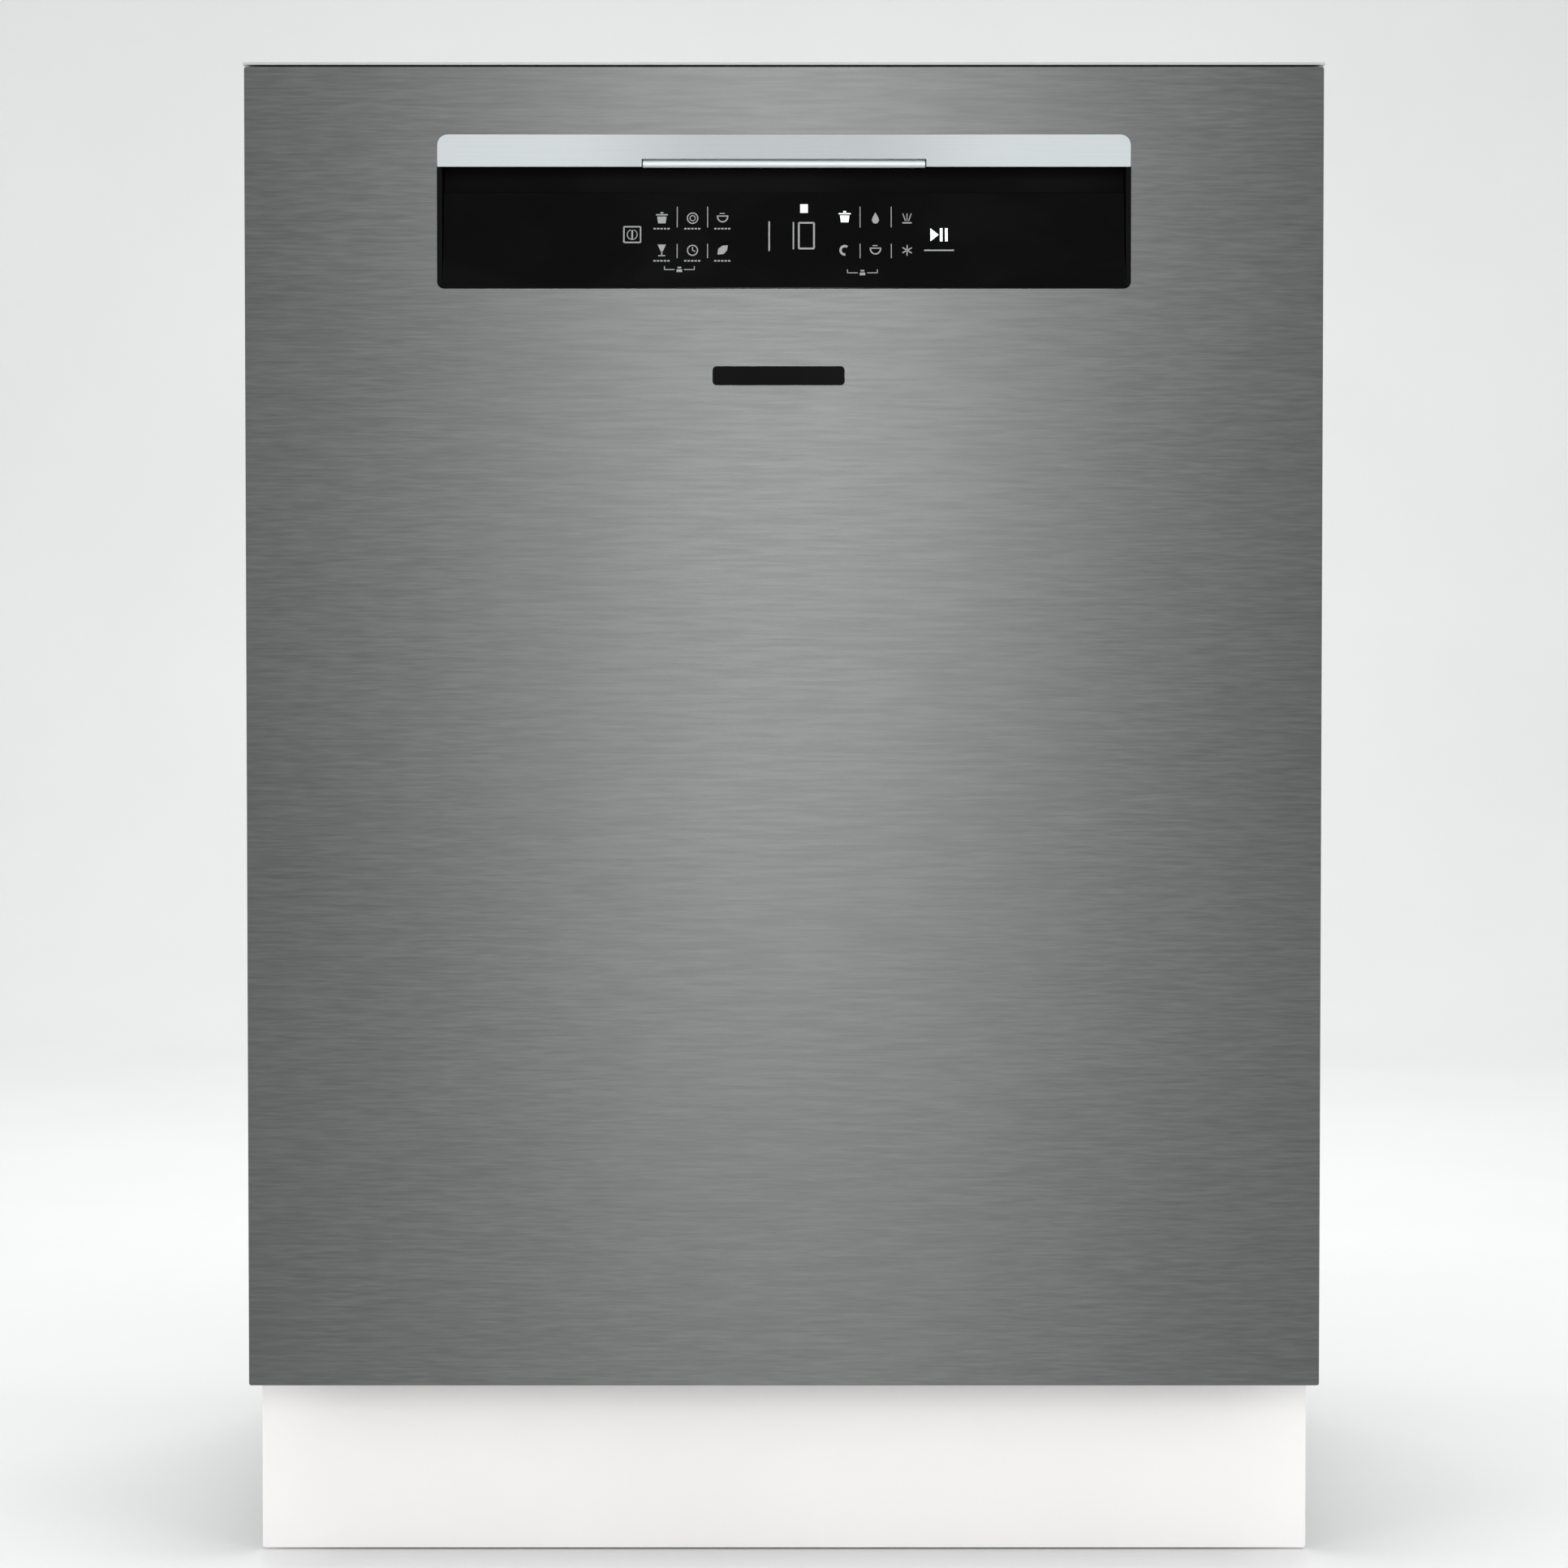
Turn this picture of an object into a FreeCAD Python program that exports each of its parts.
"""Built-under dishwasher, 60 cm class, as an assembly of separate pieces.

Frame: X to the right, Y to the back, Z up, in millimetres.  The origin is on the floor, under
the middle of the machine.  The door faces -Y and is closed; both racks are pushed in.
"""
import FreeCAD, Part
import math
import os

import Sketcher
from FreeCAD import Placement, Rotation, Vector

# Driving dimensions.  Everything else is worked out from these by expressions in the document.
DIMENSIONS = {
    # outside
    "body_width": 598, "front_plane": -285, "rear_plane": 285, "height": 838, "sheet": 0.8,
    # door
    "door_width": 596, "door_bottom": 104, "door_top": 835, "door_skin": 1.0, "return_depth": 22,
    "hinge_y": -262, "hinge_z": 128, "liner_face": -240, "liner_half": 284, "liner_top": 830,
    # hand pocket and controls in the door
    "strip_proud": 1.2, "window_half": 191.7, "window_low": 713, "window_high": 798,
    "strip_low": 780, "slot_low": 767, "lever_half": 78.5, "lever_y": -282.3, "lever_z": 795,
    # tub
    "tub_front": -231, "tub_rear": 242, "tub_half": 270, "tub_floor": 152, "tub_roof": 806,
    "rail_top": 155, "sump_x": 40, "sump_y": -35, "sump_radius": 100,
    "arm_y": 5, "filter_x": 75, "filter_y": -75, "filter_radius": 40,
    "salt_x": -165, "salt_y": 75, "salt_radius": 34,
    # base, kick plate and feet
    "base_half": 279, "base_floor": 44, "kick_face": -230, "kick_top": 103,
    "foot_x": 250, "foot_front_y": -190, "foot_rear_y": 215, "foot_radius": 22, "stem_radius": 6,
    # racks
    "lower_floor": 205, "lower_top": 330, "lower_half": 247, "rack_front": -222, "rack_back": 222,
    "wheel_radius": 17, "wheel_front_y": -120, "wheel_rear_y": 150,
    "upper_floor": 470, "upper_top": 590, "upper_half": 238, "wire": 4,
    # detergent dispenser on the inside of the door
    "dispenser_half": 80, "dispenser_low": 400, "dispenser_high": 510, "cap_x": 46, "cap_z": 455,
}

doc = FreeCAD.newDocument("Dishwasher")
sheet = doc.addObject("Spreadsheet::Sheet", "Dims")
for row, (alias, value) in enumerate(DIMENSIONS.items(), start=1):
    sheet.set(f"A{row}", alias)
    sheet.set(f"B{row}", str(value))
    sheet.setAlias(f"B{row}", alias)
doc.recompute()

NODES = []


def size(alias):
    """A driving dimension's value, for the pieces whose shape is made in code."""
    return float(sheet.get(alias))


def expr(value):
    """Text for setExpression, where a bare alias name is looked up in the sheet."""
    if not isinstance(value, str):
        return repr(float(value))
    words = value
    for alias in sorted(DIMENSIONS, key=len, reverse=True):
        words = words.replace(alias, "@" + str(list(DIMENSIONS).index(alias)) + "@")
    for number, alias in enumerate(DIMENSIONS):
        words = words.replace(f"@{number}@", "Dims." + alias)
    return words


def number(value):
    """The same text worked out as a number, to place geometry near its solved place."""
    if not isinstance(value, str):
        return float(value)
    scratch.setExpression("Value", expr(value))
    scratch.recompute()
    return scratch.Value


scratch = doc.addObject("App::FeaturePython", "Scratch")
scratch.addProperty("App::PropertyFloat", "Value")


def bind(thing, **properties):
    for name, value in properties.items():
        thing.setExpression(name.replace("__", "."), expr(value))


def node(thing, label):
    """Marks an object as one of the machine's pieces.  Its label is the piece's name."""
    thing.Label = label
    NODES.append(thing)
    return thing


def box(x0, x1, y0, y1, z0, z1):
    made = doc.addObject("Part::Box", "Block")
    bind(
        made, Length=f"({x1})-({x0})", Width=f"({y1})-({y0})", Height=f"({z1})-({z0})",
        Placement__Base__x=x0, Placement__Base__y=y0, Placement__Base__z=z0,
    )
    return made


AXES = {"x": Rotation(Vector(0, 1, 0), 90), "y": Rotation(Vector(1, 0, 0), -90), "z": Rotation()}


def rod(axis, x, y, z, radius, length):
    """A cylinder that starts at (x, y, z) and runs along +axis."""
    made = doc.addObject("Part::Cylinder", "Rod")
    made.Placement = Placement(Vector(), AXES[axis])
    bind(
        made, Radius=radius, Height=length,
        Placement__Base__x=x, Placement__Base__y=y, Placement__Base__z=z,
    )
    return made


def cut(base, *tools):
    made = doc.addObject("Part::Cut", "Cut")
    made.Base = base
    made.Tool = tools[0] if len(tools) == 1 else together("Part::MultiFuse", tools)
    return made


def together(kind, things):
    made = doc.addObject(kind, "Joined")
    if kind == "Part::Compound":
        made.Links = list(things)
    else:
        made.Shapes = list(things)
    return made


def fuse(*things):
    return together("Part::MultiFuse", things)


def group(*things):
    """Several separate solids that share one node, such as a set of screws."""
    return together("Part::Compound", things)


def formed(shape):
    """A piece whose shape is made by a loop in this file."""
    made = doc.addObject("Part::Feature", "Formed")
    made.Shape = shape
    return made


PLANES = {"xy": ("XY_Plane", 1), "xz": ("XZ_Plane", -1), "yz": ("YZ_Plane", 1)}


def outline(body, plane, points, offset=0, circles=()):
    """A sketch of a closed outline, every corner bound to the sheet, on one origin plane."""
    role, _ = PLANES[plane]
    sketch = body.newObject("Sketcher::SketchObject", "Outline")
    origin = [f for f in body.Origin.OriginFeatures if f.Role == role][0]
    sketch.AttachmentSupport = [(origin, "")]
    sketch.MapMode = "FlatFace"
    sketch.setExpression("AttachmentOffset.Base.z", expr(offset))
    at = [(number(a), number(b)) for a, b in points]
    for here, there in zip(at, at[1:] + at[:1]):
        sketch.addGeometry(Part.LineSegment(Vector(*here, 0), Vector(*there, 0)), False)
    for i in range(len(at)):
        sketch.addConstraint(Sketcher.Constraint("Coincident", i, 2, (i + 1) % len(at), 1))
    for i, (pair, value) in enumerate(zip(points, at)):
        for kind, text, start in zip(("DistanceX", "DistanceY"), pair, value):
            sketch.addConstraint(Sketcher.Constraint(kind, i, 1, start))
            name = f"{kind}_{i}"
            sketch.renameConstraint(sketch.ConstraintCount - 1, name)
            sketch.setExpression("Constraints." + name, expr(text))
    for a, b, radius in circles:
        place = Vector(number(a), number(b), 0)
        index = sketch.addGeometry(Part.Circle(place, Vector(0, 0, 1), number(radius)), False)
        for kind, text, start in (("DistanceX", a, place.x), ("DistanceY", b, place.y)):
            sketch.addConstraint(Sketcher.Constraint(kind, index, 3, start))
            name = f"{kind}_{index}"
            sketch.renameConstraint(sketch.ConstraintCount - 1, name)
            sketch.setExpression("Constraints." + name, expr(text))
        sketch.addConstraint(Sketcher.Constraint("Radius", index, number(radius)))
        sketch.renameConstraint(sketch.ConstraintCount - 1, f"Radius_{index}")
        sketch.setExpression(f"Constraints.Radius_{index}", expr(radius))
    return sketch


def plate(plane, points, low, high, circles=()):
    """A PartDesign body: an outline padded from low to high along the plane's axis."""
    body = doc.addObject("PartDesign::Body", "Plate")
    offset = low if PLANES[plane][1] > 0 else f"-({high})"
    sketch = outline(body, plane, points, offset, circles)
    pad = body.newObject("PartDesign::Pad", "Pad")
    pad.Profile = sketch
    bind(pad, Length=f"({high})-({low})")
    sketch.Visibility = False
    return body


def turned(points, x=0, y=0, z=0, axis="z"):
    """A PartDesign body: a profile of (radius, height) turned about its own axis."""
    body = doc.addObject("PartDesign::Body", "Turned")
    sketch = outline(body, "xz", points)
    made = body.newObject("PartDesign::Revolution", "Revolution")
    made.Profile = sketch
    made.ReferenceAxis = (sketch, ["V_Axis"])
    made.Angle = 360
    body.Placement = Placement(Vector(), AXES[axis])
    bind(body, Placement__Base__x=x, Placement__Base__y=y, Placement__Base__z=z)
    return body


def rounded(body, radius, chosen):
    """Rounds the edges of a body that the test picks, by their middle and direction."""
    doc.recompute()
    tip = body.Tip
    names = []
    for i, edge in enumerate(tip.Shape.Edges, start=1):
        a, b = edge.Vertexes[0].Point, edge.Vertexes[-1].Point
        if chosen((a + b) * 0.5, b - a):
            names.append(f"Edge{i}")
    if not names:
        raise RuntimeError(f"no edge of {body.Name} to round")
    made = body.newObject("PartDesign::Fillet", "Fillet")
    made.Base = (tip, names)
    made.Radius = radius
    return body


def along(axis):
    """A test for edges that run along one axis."""
    index = "xyz".index(axis)
    return lambda middle, run: abs(run[index]) > 0.99 * run.Length > 0


def rectangle(a0, a1, b0, b1):
    return [(a0, b0), (a1, b0), (a1, b1), (a0, b1)]


def mirrored_pair(make):
    """The same piece on both sides: make(+1) and make(-1) in one group."""
    return group(make(1), make(-1))


def sides(inner, outer, side):
    """Low and high X of a slab from inner to outer on one side."""
    return (f"{inner}", f"{outer}") if side > 0 else (f"-({outer})", f"-({inner})")


def grid(plane, u0, u1, v0, v1, across, up, low, high, bar=4):
    """A flat lattice of bars: a rectangle with rows of rectangular holes, given some thickness."""
    def point(u, v):
        return {"xy": Vector(u, v, low), "xz": Vector(u, low, v), "yz": Vector(low, u, v)}[plane]

    def loop(a0, a1, b0, b1):
        corners = [point(a0, b0), point(a1, b0), point(a1, b1), point(a0, b1), point(a0, b0)]
        return Part.makePolygon(corners)

    step_u, step_v = (u1 - u0 - bar) / across, (v1 - v0 - bar) / up
    holes = [
        loop(u0 + bar + i * step_u, u0 + (i + 1) * step_u, v0 + bar + j * step_v, v0 + (j + 1) * step_v)
        for i in range(across) for j in range(up)
    ]
    face = Part.Face([loop(u0, u1, v0, v1)] + holes, "Part::FaceMakerBullseye")
    run = {"xy": Vector(0, 0, 1), "xz": Vector(0, 1, 0), "yz": Vector(1, 0, 0)}[plane]
    return face.extrude(run * (high - low))


def comb(x0, x1, count, y, base, top, bar=3, foot=4):
    """A row of upright tines on a low bar, as one solid."""
    step = (x1 - x0 - bar) / (count - 1)
    corners = [(x0, base), (x1, base), (x1, top)]
    for i in range(count - 1, -1, -1):
        left = x0 + i * step
        if i < count - 1:
            corners += [(left + bar, base + foot), (left + bar, top)]
        corners += [(left, top)]
        if i > 0:
            corners += [(left, base + foot)]
    wire = Part.makePolygon([Vector(x, y - bar / 2, z) for x, z in corners + corners[:1]])
    return Part.Face(wire).extrude(Vector(0, bar, 0))


def pipe(radius, *points):
    """A round hose through the points, with a ball at each bend."""
    points = [Vector(*p) for p in points]
    lengths = [
        Part.makeCylinder(radius, (b - a).Length, a, b - a) for a, b in zip(points, points[1:])
    ]
    bends = [Part.makeSphere(radius, p) for p in points[1:-1]]
    return lengths[0].multiFuse(lengths[1:] + bends)


# ---------------------------------------------------------------------------------- cabinet

# Tub: a sheet box open at the front, with a turned-out front flange, two pressed ledges for
# the lower rack's wheels, and openings for the sump and the salt filler.
tub_shell = fuse(
    box("-tub_half-sheet", "tub_half+sheet", "tub_front", "tub_rear+sheet",
        "tub_floor-sheet", "tub_roof+sheet"),
    box("-tub_half-12", "tub_half+12", "tub_front-sheet", "tub_front", "tub_floor-6", "tub_roof+24"),
)
tub_inside = box("-tub_half", "tub_half", "tub_front-5", "tub_rear", "tub_floor", "tub_roof")
tub_bare = cut(
    tub_shell, tub_inside,
    rod("z", "sump_x", "sump_y", "tub_floor-5", "sump_radius", 10),
    rod("z", "salt_x", "salt_y", "tub_floor-5", "salt_radius+5", 10),
)


def wheel_ledge(side):
    x0, x1 = sides("tub_half-24", "tub_half", side)
    return box(x0, x1, "tub_front+3", "tub_rear-12", "tub_floor", "rail_top")


node(fuse(tub_bare, wheel_ledge(1), wheel_ledge(-1)), "tub")

# Door gasket on three sides of the front flange.
node(cut(
    box("-tub_half-11", "tub_half+11", "liner_face+0.3", "tub_front-sheet", "tub_floor+13",
        "tub_roof+10"),
    box("-tub_half-1", "tub_half+1", "liner_face-5", "tub_front+5", "tub_floor", "tub_roof"),
), "tub_gasket")

# Felt blanket over the sides and the roof of the tub.
node(cut(
    box("-tub_half-13", "tub_half+13", "tub_front+9", "tub_rear+sheet", "tub_floor+48",
        "tub_roof+16"),
    box("-tub_half-sheet", "tub_half+sheet", "tub_front", "tub_rear+5", "tub_floor",
        "tub_roof+sheet"),
), "sound_blanket")

# Side panels, cut back at the lower front corner where the hinges work.
for side, name in ((-1, "side_panel_left"), (1, "side_panel_right")):
    x0, x1 = sides("body_width/2-sheet", "body_width/2", side)
    panel = plate("yz", [
        ("tub_front-25", "height-1.5"), ("tub_front-25", 175), ("tub_front+36", 135),
        ("tub_front+36", 60), (266, 60), (266, "height-1.5"),
    ], x0, x1)
    node(panel, name)

# Top cover with a front cross-member and the two worktop screw holes.
cover = fuse(
    box("-body_width/2", "body_width/2", "front_plane+4", 266, "height-1.5", "height"),
    cut(
        box("-body_width/2+9", "body_width/2-9", "tub_front", "tub_front+16", "tub_roof+16",
            "height-1.5"),
        box("-body_width/2+11", "body_width/2-11", "tub_front+1.5", "tub_front+20",
            "tub_roof+18", "height-3"),
    ),
)
node(cut(
    cover, rod("z", 240, -246, "height-5", 2.5, 10), rod("z", -240, -246, "height-5", 2.5, 10),
), "top_cover")

# Back panel with holes for the water inlet, the drain and the cord gland.
port_holes = [
    rod("y", -210, 250, 100, 14.8, 25), rod("y", 220, 250, 100, 11, 25),
    rod("y", 120, 250, 80, 9.5, 25),
]
node(cut(
    box("-body_width/2", "body_width/2", 266, 267, 60, "height-1.5"), *port_holes,
), "back_panel")

# Base tray: a tray under the tub that carries the feet, the pumps and the hinges.
tray = cut(
    box("-base_half", "base_half", "kick_face+2", 264, "base_floor", "tub_floor-sheet"),
    box("-base_half+3", "base_half-3", "kick_face+5", 261, "base_floor+3", "tub_floor+5"),
)
feet_at = [
    (sx, sy) for sy in ("foot_front_y", "foot_rear_y") for sx in ("-foot_x", "foot_x")
]
bosses = [rod("z", x, y, "base_floor", "stem_radius+8", 40) for x, y in feet_at]
bores = [rod("z", x, y, "base_floor-5", "stem_radius+0.3", 50) for x, y in feet_at]


def spring_lug(side):
    x0, x1 = sides("base_half", "base_half+12", side)
    return box(x0, x1, 60, 66, 118, 138)


node(cut(
    fuse(tray, *bosses, spring_lug(1), spring_lug(-1)), *bores,
    rod("y", -210, 240, 100, 14.8, 35), rod("y", 220, 240, 100, 11, 35),
    rod("y", 120, 240, 80, 9.5, 35),
    rod("x", "-base_half-5", 120, 120, 6.5, 10), rod("x", "-base_half-5", 90, 120, 6.5, 10),
), "base_tray")

# Kick plate, set back under the door.
node(rounded(
    plate("xz", rectangle(-298, 298, 1, "kick_top"), "kick_face", "kick_face+2"),
    1.5, along("y"),
), "kick_plate")

# Feet: a pad on a threaded stem.
for (x, y), name in zip(feet_at, (
    "foot_front_left", "foot_front_right", "foot_rear_left", "foot_rear_right",
)):
    node(turned([
        (0, 0), ("foot_radius", 0), ("foot_radius", 6), ("foot_radius-6", 10),
        ("stem_radius", 10), ("stem_radius", 90), (0, 90),
    ], x, y), name)


# Hinge brackets bolted to the base tray, each with the pin the door turns on.
def hinge_bracket(side):
    x0, x1 = sides("base_half+9", "base_half+12", side)
    arm = plate("yz", [
        ("hinge_y", "hinge_z-9"), (-222, "hinge_z-9"), (-222, 106), (-150, 106), (-150, 150),
        (-222, 150), (-222, "hinge_z+9"), ("hinge_y", "hinge_z+9"),
    ], x0, x1)
    eye = rod("x", x0, "hinge_y", "hinge_z", 9, 3)
    p0, p1 = sides("liner_half+0.3", "base_half+9", side)
    pin = rod("x", p0, "hinge_y", "hinge_z", 4, "base_half+9-liner_half-0.3")
    s0, s1 = sides("base_half", "base_half+9", side)
    return fuse(arm, eye, pin, box(s0, s1, -195, -150, 106, 118))


node(mirrored_pair(hinge_bracket), "hinge_brackets")


# Counterbalance springs beside the base tray.
def door_spring(side):
    x = side * 285.5
    z = size("hinge_z")
    coil = Part.makeHelix(4, 180, 5)
    coil.Placement = Placement(Vector(x, -140, z), AXES["y"])
    start = coil.Edges[0].valueAt(coil.Edges[0].FirstParameter)
    section = Part.Wire([Part.makeCircle(1.2, start, coil.Edges[0].tangentAt(0))])
    wound = Part.Wire(coil.Edges).makePipeShell([section], True, True)
    ends = pipe(1.2, (x, -199, z), (x, -141, z), (x, -140, z + 5))
    hook = pipe(1.2, (x, 40, z + 5), (x, 43, z), (x, 59.5, z))
    return Part.makeCompound([wound, ends, hook])


node(formed(Part.makeCompound([door_spring(1), door_spring(-1)])), "door_springs")

# Latch striker on the tub's top flange.
node(fuse(
    box(-15, 15, "tub_front-sheet-1.2", "tub_front-sheet", 816.2, 829),
    rod("x", -9, -237, 819.5, 1.5, 18),
    box(-12, -8, -238.8, "tub_front-sheet-1", 817.5, 821.5),
    box(8, 12, -238.8, "tub_front-sheet-1", 817.5, 821.5),
), "latch_striker")

# Sump pan with the post of the lower spray arm.
node(fuse(
    turned([
        (0, 92), ("sump_radius+6", 92), ("sump_radius+6", "tub_floor-sheet"),
        ("sump_radius+2", "tub_floor-sheet"), ("sump_radius+2", 96), (0, 96),
    ], "sump_x", "sump_y"),
    rod("z", 0, "arm_y", 95, 18, 70), rod("z", 0, "arm_y", 95, 10, 76.8),
), "sump")

# Flat filter over the sump, with holes for the post and the filter cylinder.
node(cut(
    turned([
        (0, "tub_floor"), ("sump_radius+4", "tub_floor"), ("sump_radius+4", "tub_floor+1.5"),
        (0, "tub_floor+1.5"),
    ], "sump_x", "sump_y"),
    rod("z", 0, "arm_y", 140, 19, 20), rod("z", "filter_x", "filter_y", 140, "filter_radius+1.5", 20),
), "filter_plate")

# Lift-out filter cylinder with a grip across it.
node(fuse(
    turned([
        (0, 100), ("filter_radius", 100), ("filter_radius", 153.5), ("filter_radius+6", 153.5),
        ("filter_radius+6", 155.5), ("filter_radius-2", 155.5), ("filter_radius-2", 103), (0, 103),
    ], "filter_x", "filter_y"),
    box("filter_x-filter_radius+1", "filter_x+filter_radius-1", "filter_y-4", "filter_y+4", 148, 166),
), "filter_cylinder")

# Water softener with its salt filler, and the screw cap.
node(turned([
    (0, 92), (50, 92), (50, "tub_floor-sheet"), ("salt_radius+4", "tub_floor-sheet"),
    ("salt_radius+4", "tub_floor+0.6"), ("salt_radius-5", "tub_floor+0.6"),
    ("salt_radius-5", 100), (0, 100),
], "salt_x", "salt_y"), "water_softener")
node(fuse(
    turned([
        (0, 140), ("salt_radius-6", 140), ("salt_radius-6", "tub_floor+0.6"),
        ("salt_radius", "tub_floor+0.6"), ("salt_radius", 159), ("salt_radius-3", 161), (0, 161),
    ], "salt_x", "salt_y"),
    box("salt_x-24", "salt_x+24", "salt_y-4", "salt_y+4", 160, 167),
), "salt_cap")

# Wash pump, heater, drain pump, hoses and the air gap in the base and beside the tub.
node(fuse(
    rod("x", -40, 120, 98, 42, 110), rod("y", 40, 71.5, 105, 15, 20),
    box(-25, 55, 98, 142, "base_floor+3", 70),
), "circulation_pump")
node(fuse(
    rod("x", 90, 120, 98, 20, 100), rod("x", 70, 120, 98, 10, 20),
    box(105, 175, 108, 132, "base_floor+3", 85),
), "flow_heater")
node(fuse(
    rod("x", 152, -60, 92, 24, 58), box(160, 200, -78, -42, "base_floor+3", 75),
), "drain_pump")
node(formed(Part.makeCompound([
    pipe(8, (210, -60, 92), (225, -60, 92), (225, 160, 92), (220, 210, 100), (220, 257, 100)),
    pipe(5, (-210, 235, 100), (-210, 215, 100), (-240, 185, 110), (-240, 120, 120), (-289.5, 120, 120),
         (-289.5, 120, 230)),
    pipe(5, (-289.5, 90, 230), (-289.5, 90, 120), (-214.3, 90, 120)),
])), "base_hoses")
node(rounded(
    plate("yz", rectangle(-120, 150, 230, 560), -296.5, "-tub_half-13"), 12, along("x"),
), "air_gap_unit")
node(fuse(
    box(-230, -190, 235, 261, 80, 120), rod("y", -210, 255, 100, 13.2, "rear_plane-255"),
), "inlet_valve")
node(turned([
    (0, 257), (14, 257), (14, 261), (10, 261), (10, "rear_plane"), (0, "rear_plane"),
], 220, 0, 100, "y"), "drain_spigot")
node(turned([
    (4, 258), (13, 258), (13, 261), (9, 261), (9, 272), (4, 272),
], 120, 0, 80, "y"), "cord_gland")
node(rounded(
    plate("xy", rectangle(-200, -100, -200, -130), "base_floor+3", 90), 4, along("z"),
), "power_board")

# Riser on the tub's back wall, a branch along its roof, and a dock for the upper spray arm.
node(fuse(
    box(-20, 20, "tub_rear-12", "tub_rear", 160, "tub_roof"),
    box(-14, 14, "arm_y", "tub_rear-6", "tub_roof-9", "tub_roof"),
    rod("z", 0, "arm_y", 794.2, 13, "tub_roof-794.2"),
    rod("y", 0, 226, 464, 8, 6),
), "riser_duct")


# Channels on the tub's side walls for the upper rack.
def upper_rail(side):
    x0, x1 = sides("tub_half-8", "tub_half", side)
    g0, g1 = sides("tub_half-9", "tub_half-4", side)
    return cut(box(x0, x1, -226, 230, 555, 575), box(g0, g1, -230, 228, 560, 570))


node(mirrored_pair(upper_rail), "upper_rails")

# Screws in the back panel.
node(group(*[
    rod("y", x, 267, z, 4, 2) for x in (-288, 288) for z in (150, 450, 800)
]), "cabinet_screws")


# --------------------------------------------------------------------------------- spray arms

def spray_arm(low, reach, width, hub, depth=10):
    """Two blades and a hub that turn about Z over (0, arm_y).  The blade's ends are rounded."""
    blade = rounded(
        plate("xy", rectangle(-reach, reach, f"arm_y-{width}", f"arm_y+{width}"), low + 3,
              low + 3 + depth),
        width - 1, along("z"),
    )
    return fuse(blade, rod("z", 0, "arm_y", low, hub, depth + 6))


node(spray_arm(172, 216, 17, 24), "lower_spray_arm")
node(spray_arm(440, 208, 16, 22), "upper_spray_arm")
node(spray_arm(780, 92, 11, 16, 8), "ceiling_spray_arm")

# ------------------------------------------------------------------------------------- door

# Outer panel: a pan of sheet with a window for the hand pocket and the controls.
half = "door_width/2"
skin_back = "front_plane+1.2+return_depth"
pan = cut(
    box(f"-{half}", half, "front_plane+1.2", skin_back, "door_bottom", "door_top"),
    box(f"-{half}+door_skin", f"{half}-door_skin", "front_plane+1.2+door_skin",
        f"{skin_back}-door_skin", "door_bottom+door_skin", "door_top-door_skin"),
    box(f"-{half}+11", f"{half}-11", -264, -260, "door_bottom+60", "door_top-11"),
    box(f"-{half}+door_skin", f"{half}-door_skin", -264, -260, "door_bottom+door_skin",
        "door_bottom+72"),
    box(f"-{half}+door_skin", f"{half}-door_skin", -271.8, -260, "door_bottom-2",
        "door_bottom+5"),
)
window = rounded(
    plate("xz", rectangle("-window_half", "window_half", "window_low", "window_high"), -290, -280),
    3.5, along("y"),
)
node(cut(pan, window), "door_outer_panel")

# Grip strip across the top of the window, notched for the latch lever.
strip = plate("xz", [
    ("-window_half+0.2", "strip_low"), ("-lever_half", "strip_low"),
    ("-lever_half", "strip_low+4.3"), ("lever_half", "strip_low+4.3"),
    ("lever_half", "strip_low"), ("window_half-0.2", "strip_low"),
    ("window_half-0.2", "window_high-0.2"), ("-window_half+0.2", "window_high-0.2"),
], "front_plane", "front_plane+1.5")
rounded(strip, 3.3, lambda middle, run: along("y")(middle, run) and middle.z > 790)


def strip_block(side):
    x0, x1 = sides(86, 188, side)
    tab0, tab1 = sides(188, "window_half-0.4", side)
    return fuse(
        box(x0, x1, "front_plane+1.4", "front_plane+2.2", "strip_low+1", "window_high-0.4"),
        box(tab0, tab1, "front_plane+1.4", "front_plane+2.2", "strip_low+1", "window_high-4"),
    )


node(fuse(strip, strip_block(1), strip_block(-1)), "grip_strip")


# Moulded housing behind the window: hand pocket above, bay for the controls below.
def lever_cheek(side):
    x0, x1 = sides(80.5, 84, side)
    return box(x0, x1, "lever_y-1.15", "lever_y+6", "lever_z-3.5", "window_high")


def board_peg(x, z):
    return rod("y", x, -269.4, z, 3, 6.4)


housing_back = -262
housing = cut(
    box("-window_half-1.3", "window_half+1.3", "front_plane+2.2", housing_back, "window_low-2",
        "window_high+2"),
    box(-189, 189, -290, "front_plane+21", "slot_low-1", "window_high-1"),
    box(-189, 189, -290, "front_plane+21", "window_low+0.2", "slot_low-3"),
    box(-189, 189, -290, -272.5, "slot_low-4", "slot_low"),
)
node(cut(
    fuse(housing, lever_cheek(1), lever_cheek(-1),
         *[board_peg(x, z) for x in (-150, 150) for z in (725, 753)]),
    rod("x", -90, "lever_y", "lever_z", 1.05, 180),
), "handle_housing")

# Sloping fascia for the controls.
node(plate("yz", [
    (-284.2, "window_low+0.2"), (-276.5, "slot_low"), (-272.5, "slot_low"),
    (-272.5, "slot_low-3"), (-274, "slot_low-3"), (-281.2, "window_low+0.2"),
], -188.7, 188.7), "control_fascia")
node(box(-170, 170, -271, -269.4, 718, 760), "display_board")


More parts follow.
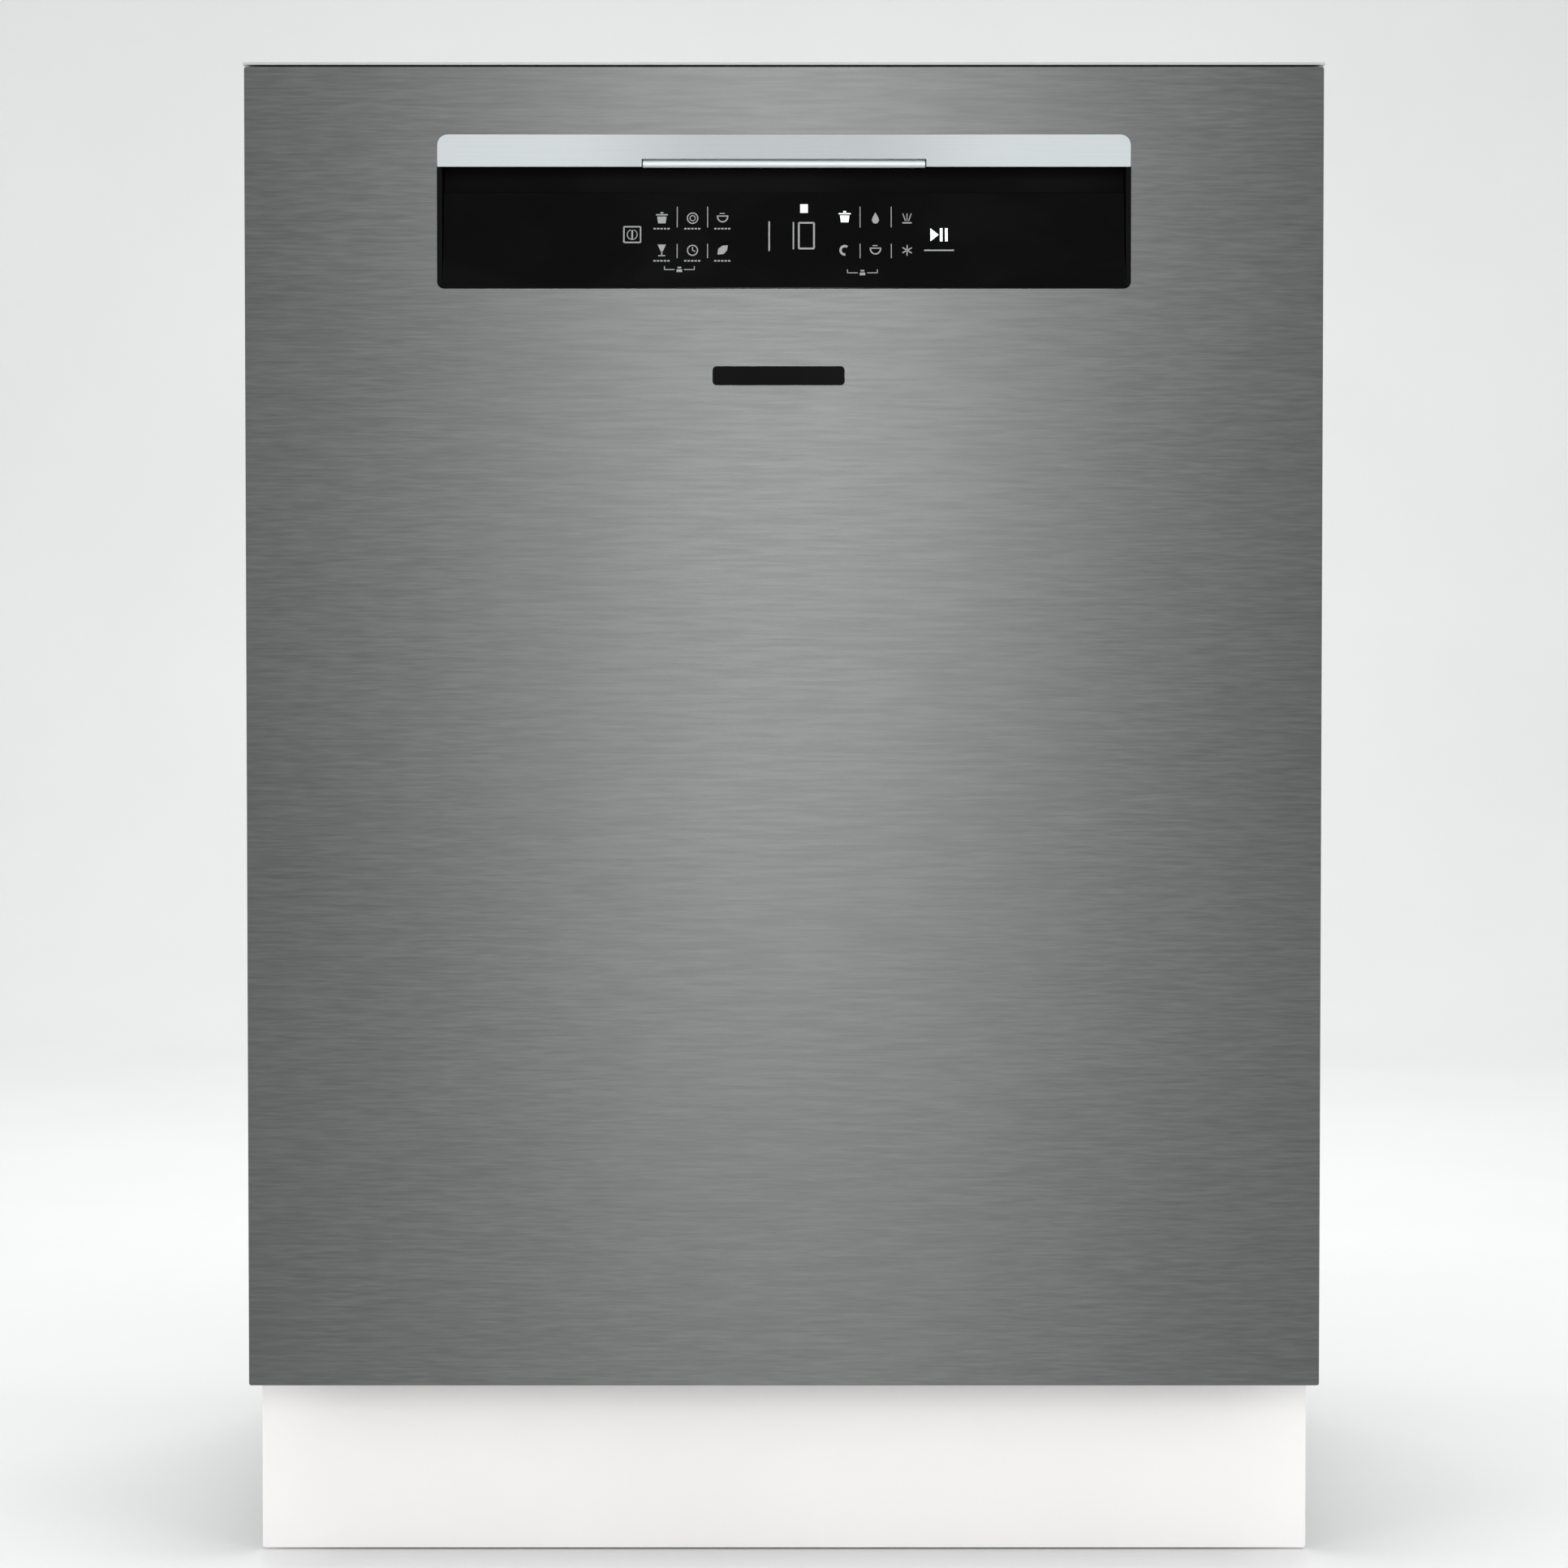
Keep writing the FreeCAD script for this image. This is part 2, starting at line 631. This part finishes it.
# Latch lever: a plate behind the grip strip, hung on two pins, with a finger lip below.
def lever_ear(side):
    x0, x1 = sides("lever_half-0.6", "lever_half+1.5", side)
    p0, p1 = sides("lever_half-1", "lever_half+4.5", side)
    return fuse(
        box(x0, x1, "lever_y-0.6", -279.2, "lever_z-3", "lever_z+1"),
        rod("x", p0, "lever_y", "lever_z", 1, 5.5),
    )


lever = plate("yz", [
    (-284.6, "strip_low"), (-279.2, "strip_low"), (-279.2, "lever_z+1"), (-281.2, "lever_z+1"),
    (-281.2, "strip_low+3.6"), (-284.6, "strip_low+3.6"),
], "-lever_half+0.5", "lever_half-0.5")
node(fuse(lever, lever_ear(1), lever_ear(-1)), "latch_lever")

# Inner liner: the stainless inside of the door, with a flange screwed to the outer panel.
liner_box = cut(
    box("-liner_half", "liner_half", "hinge_y+0.2", "liner_face", 125, "liner_top"),
    box("-liner_half+1", "liner_half-1", -264, "liner_face-1", 126, "liner_top-1"),
    box("-dispenser_half-0.4", "dispenser_half+0.4", -245, -235, "dispenser_low-0.4",
        "dispenser_high+0.4"),
    box(-4.5, 4.5, -245, -235, 814, "liner_top-1"),
)
liner_flange = cut(
    box(-296, 296, "hinge_y+0.2", "hinge_y+1.2", 176, "liner_top+4"),
    box("-liner_half+1", "liner_half-1", -264, -258, 170, "liner_top-1"),
)


def hook_cheek(side):
    x0, x1 = sides(4.5, 6, side)
    return box(x0, x1, -258, -245, 818, "liner_top-0.5")


node(cut(
    fuse(liner_box, liner_flange, hook_cheek(1), hook_cheek(-1)),
    rod("x", -10, -252, 824, 1.6, 20),
), "door_inner_liner")

# Latch hook that reaches over the striker.
hook = plate("yz", [
    (-255, 820), (-248, 821), (-238, 822.5), (-235.4, 822.5), (-234.6, 821.5), (-233.2, 821.5),
    (-233.2, 825), (-248, 827), (-255, 827.5),
], -2, 2)
node(fuse(hook, rod("x", -5.8, -252, 824, 1.5, 11.6)), "latch_hook")

node(box(-280, 280, "front_plane+2.2", "front_plane+5.2", 190, 700), "door_sound_pad")


# Hinge arms: a strip on the liner's side, an eye on the hinge pin and a lever for the spring.
def hinge_arm(side):
    x0, x1 = sides("liner_half", "liner_half+3", side)
    arm = plate("yz", [
        ("hinge_y-11", "hinge_z"), ("hinge_y", "hinge_z-7"), (-200, "hinge_z-7"),
        (-200, "hinge_z+7"), (-244, "hinge_z+7"), (-244, 300), (-256, 300), (-256, "hinge_z+11"),
    ], x0, x1)
    h0, h1 = sides("liner_half-1", "liner_half+5", side)
    return cut(
        fuse(arm, rod("x", x0, "hinge_y", "hinge_z", 11, 3)),
        rod("x", h0, "hinge_y", "hinge_z", 4.05, 6),
    )


node(mirrored_pair(hinge_arm), "hinge_arms")
node(group(*[
    rod("y", x, "hinge_y+1.2", z, 3, 1.6) for x in (-291.5, 291.5) for z in (200, 355, 510, 665, 815)
]), "door_screws")

# Detergent dispenser: body, sliding lid and the rinse-aid cap.
dispenser = fuse(
    box("-dispenser_half", "dispenser_half", -260, -238, "dispenser_low", "dispenser_high"),
    box("-dispenser_half-4", "dispenser_half+4", "liner_face", -238, "dispenser_low-4",
        "dispenser_high+4"),
    box(-75, -72.3, -238.5, -235.3, "dispenser_low+4", "dispenser_high"),
    box(12.3, 15, -238.5, -235.3, "dispenser_low+4", "dispenser_high"),
)
node(cut(
    dispenser, box(-70, 10, -258, -230, "dispenser_low+15", "dispenser_high-15"),
    rod("y", "cap_x", -241, "cap_z", 22, 10), rod("y", "cap_x", -256, "cap_z", 12.5, 20),
), "dispenser_housing")
node(box(-72, 12, -237.8, -235.3, "dispenser_low+13", "dispenser_high-13"), "detergent_lid")
node(fuse(
    rod("y", "cap_x", -241, "cap_z", 21, 5.5), rod("y", "cap_x", -247, "cap_z", 12, 7),
    box("cap_x-15", "cap_x+15", -236, -231, "cap_z-2.5", "cap_z+2.5"),
), "rinse_aid_cap")
node(box(-250, 250, "liner_face", -235.5, 128, 146), "door_bottom_seal")


# ------------------------------------------------------------------------------ lower rack

def basket_walls(base, top, half_width, front, front_low, back, across, along_side, up):
    """Side, rear and sloping front lattices that stand on a floor lattice, edge to edge."""
    t = size("wire")
    side_out, side_in = half_width, half_width - t
    low, high = base + t / 2, top
    rear = grid("xz", -side_in, side_in, low, high, across, up, back - t, back)
    lean = (front_low - front) / (high - low)
    shear = FreeCAD.Matrix()
    shear.A23 = -lean
    shear.A24 = lean * low
    flat = grid("xz", -side_in, side_in, low, high, across, up, front_low, front_low + t)
    sloping = flat.transformGeometry(shear)
    walls = [rear, sloping]
    for x0 in (-side_out, side_in):
        wall = grid("yz", front, back, low, high, along_side, up, x0, x0 + t)
        wedge = Part.makePolygon([
            Vector(x0 - 1, front - 1, low - 1), Vector(x0 - 1, front_low, low - 1),
            Vector(x0 - 1, front_low, low), Vector(x0 - 1, front, high),
            Vector(x0 - 1, front - 1, high), Vector(x0 - 1, front - 1, low - 1),
        ])
        post = Part.makePolygon([
            Vector(x0, front_low, low), Vector(x0, front_low + t, low), Vector(x0, front + t, high),
            Vector(x0, front, high), Vector(x0, front_low, low),
        ])
        trimmed = wall.cut(Part.Face(wedge).extrude(Vector(t + 2, 0, 0)))
        walls.append(trimmed.fuse(Part.Face(post).extrude(Vector(t, 0, 0))).removeSplitter())
    return walls


lower_floor, lower_top = size("lower_floor"), size("lower_top")
lower_half, rack_front, rack_back = size("lower_half"), size("rack_front"), size("rack_back")
wheel_z = size("rail_top") + 0.2 + size("wheel_radius")
floor_top = lower_floor + size("wire") / 2
pieces = [grid("xy", -lower_half, lower_half, rack_front + 22, rack_back, 12, 10,
               lower_floor - 2, floor_top)]
pieces += basket_walls(lower_floor, lower_top, lower_half, rack_front, rack_front + 22, rack_back,
                       12, 9, 2)
for x in (-1, 1):
    for y in (size("wheel_front_y"), size("wheel_rear_y")):
        hanger = Part.makeBox(4, 24, 28, Vector(x * (lower_half + 2) - 2, y - 12, wheel_z - 7))
        start = x * (lower_half + 4)
        axle = Part.makeCylinder(3, 15, Vector(start, y, wheel_z), Vector(x, 0, 0))
        pieces.append(hanger.fuse(axle))
pieces.append(comb(-140, 235, 13, -70, floor_top, 277))
for y in (40, 150):
    for x in (-145, 236):
        clip = Part.makeBox(4, 8, 9, Vector(x, y - 4, floor_top))
        pieces.append(clip.cut(Part.makeCylinder(2.2, 10, Vector(x - 3, y, 212), Vector(1, 0, 0))))
node(formed(Part.makeCompound(pieces)), "lower_rack")

# Folding tines, each row on its own rod.
for name, y in (("tines_front", 40), ("tines_rear", 150)):
    row = comb(-139, 234, 13, y, 210.5, 282, 3, 3)
    spindle = Part.makeCylinder(2, 383, Vector(-144.5, y, 212), Vector(1, 0, 0))
    node(formed(row.fuse(spindle)), name)

# Cutlery basket with five cells.
cells = [box(-232.5, -152.5, -187.5 + 44 * i, -146 + 44 * i, "lower_floor+4.5", 340)
         for i in range(5)]
node(cut(box(-235, -150, -190, 32.5, "lower_floor+2", "lower_top"), *cells), "cutlery_basket")


# Rack wheels, in pairs on their axles.
def wheel(side, y):
    tyre = turned([
        (3.2, 0), ("wheel_radius-3", 0), ("wheel_radius", 2), ("wheel_radius", 6),
        ("wheel_radius-3", 8), (3.2, 8),
    ], f"{side * 254 - (8 if side < 0 else 0)}", y, "rail_top+0.2+wheel_radius", "x")
    return tyre


for name, y in (("wheels_front", "wheel_front_y"), ("wheels_rear", "wheel_rear_y")):
    node(group(wheel(1, y), wheel(-1, y)), name)


# ------------------------------------------------------------------------------ upper rack

upper_floor, upper_top, upper_half = size("upper_floor"), size("upper_top"), size("upper_half")
shelf_top = upper_floor + size("wire") / 2
pieces = [grid("xy", -upper_half, upper_half, rack_front + 12, rack_back, 12, 10,
               upper_floor - 2, shelf_top)]
pieces += basket_walls(upper_floor, upper_top, upper_half, rack_front, rack_front + 12, rack_back,
                       12, 9, 2)
for x in (-1, 1):
    pieces.append(Part.makeBox(5, 440, 20, Vector(x * 251.5 - 2.5, -220, 555)))
    for y in (-170, 160):
        x0 = min(x * upper_half, x * 249)
        pieces.append(Part.makeBox(249 - upper_half, 20, 10, Vector(x0, y - 10, 560)))
for y in (-60, 80):
    pieces.append(comb(-150, 230, 12, y, shelf_top, 525))
node(formed(Part.makeCompound(pieces)), "upper_rack")

# Pipe that feeds the upper spray arm from the dock on the back wall.
node(fuse(
    rod("y", 0, "arm_y", 464, 4, 220.5), rod("z", 0, "arm_y", 456.2, 9, "upper_floor-2-456.2"),
), "upper_feed_pipe")


# Telescopic slides between the rack's rails and the channels on the tub.
def rail_slide(side):
    x0, x1 = sides(255, 261, side)
    t0, t1 = sides(260, 265, side)
    return fuse(box(x0, x1, -222, 222, 555, 575), box(t0, t1, -222, 222, 561, 569))


node(mirrored_pair(rail_slide), "rail_slides")


# ------------------------------------------------------------------------- check and export

doc.removeObject(scratch.Name)
doc.recompute()
for thing in doc.Objects:
    if any(word in thing.State for word in ("Invalid", "Error")):
        raise RuntimeError(f"{thing.Name} ({thing.Label}) failed: {thing.State}")
bad = [thing.Label for thing in NODES if thing.Shape.isNull() or not thing.Shape.isValid()]
if bad:
    raise RuntimeError("bad shapes: " + ", ".join(bad))

os.makedirs("parts", exist_ok=True)
low, high = [1e9] * 3, [-1e9] * 3
for thing in NODES:
    shape = thing.Shape.copy()
    shape.exportStep(f"parts/{thing.Label}.step")
    bounds = shape.BoundBox
    for i, (a, b) in enumerate((
        (bounds.XMin, bounds.XMax), (bounds.YMin, bounds.YMax), (bounds.ZMin, bounds.ZMax),
    )):
        low[i], high[i] = min(low[i], a), max(high[i], b)
print(len(NODES), "pieces, from", [round(v, 2) for v in low], "to", [round(v, 2) for v in high])
